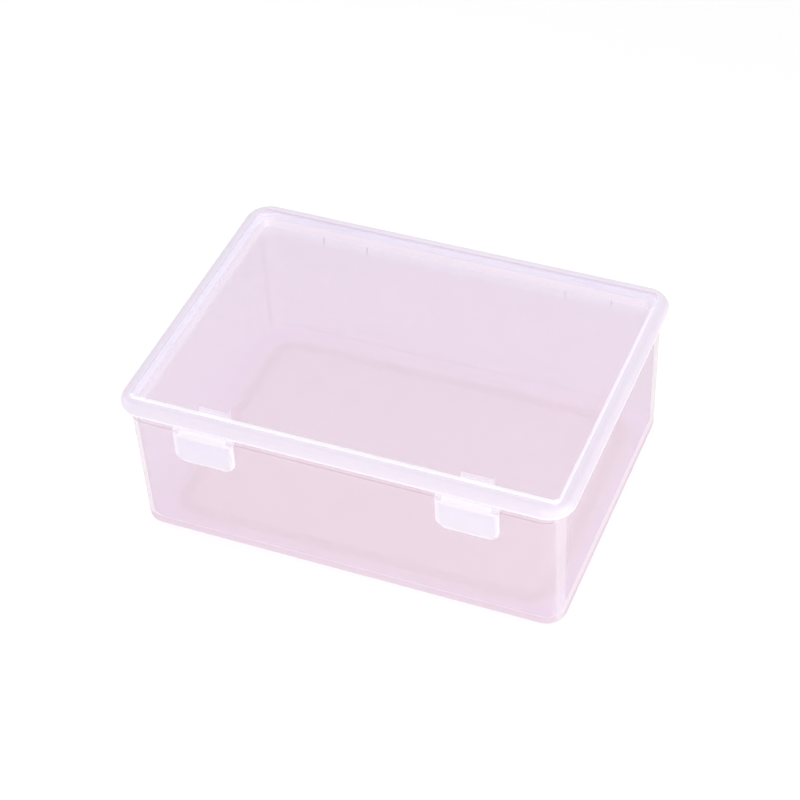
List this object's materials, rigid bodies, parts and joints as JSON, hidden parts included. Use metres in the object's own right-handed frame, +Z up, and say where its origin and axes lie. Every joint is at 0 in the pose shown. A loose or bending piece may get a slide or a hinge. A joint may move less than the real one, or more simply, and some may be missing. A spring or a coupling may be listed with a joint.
{
  "type": "storage box",
  "caption": "Clear rectangular plastic storage box: a drafted tray with a hinged cap lid, raised lid panel and snap latches along the front.",
  "frame": {"origin": "middle of the tray's flat base, on the surface that the box stands on", "axes": "+X from the left latch to the right latch, +Y from the latches to the rear hinges, +Z up"},
  "size_m": [0.165, 0.1246, 0.06],
  "materials": {
    "tray_plastic": "hazy see-through pink-lilac polypropylene",
    "lid_plastic": "hazy see-through pink-lilac polypropylene",
    "latch_plastic": "hazy see-through polypropylene, paler than the walls",
    "pin_plastic": "hazy see-through polypropylene"
  },
  "bodies": {
    "tray": {"tray": "tray_plastic", "left_hinge_pin": "pin_plastic", "right_hinge_pin": "pin_plastic"},
    "lid": {"lid": "lid_plastic"},
    "left_latch": {"left_latch": "latch_plastic"},
    "right_latch": {"right_latch": "latch_plastic"}
  },
  "joints": [
    {"name": "lid_hinge", "type": "hinge", "parent": "tray", "child": "lid", "pos_m": [0, 0.0619, 0.0534], "axis": [-1, 0, 0], "range_deg": [0, 180]},
    {"name": "left_latch_hinge", "type": "hinge", "parent": "lid", "child": "left_latch", "pos_m": [-0.048, -0.0599, 0.05375], "axis": [-1, 0, 0], "range_deg": [0, 100]},
    {"name": "right_latch_hinge", "type": "hinge", "parent": "lid", "child": "right_latch", "pos_m": [0.048, -0.0599, 0.05375], "axis": [-1, 0, 0], "range_deg": [0, 100]}
  ]
}
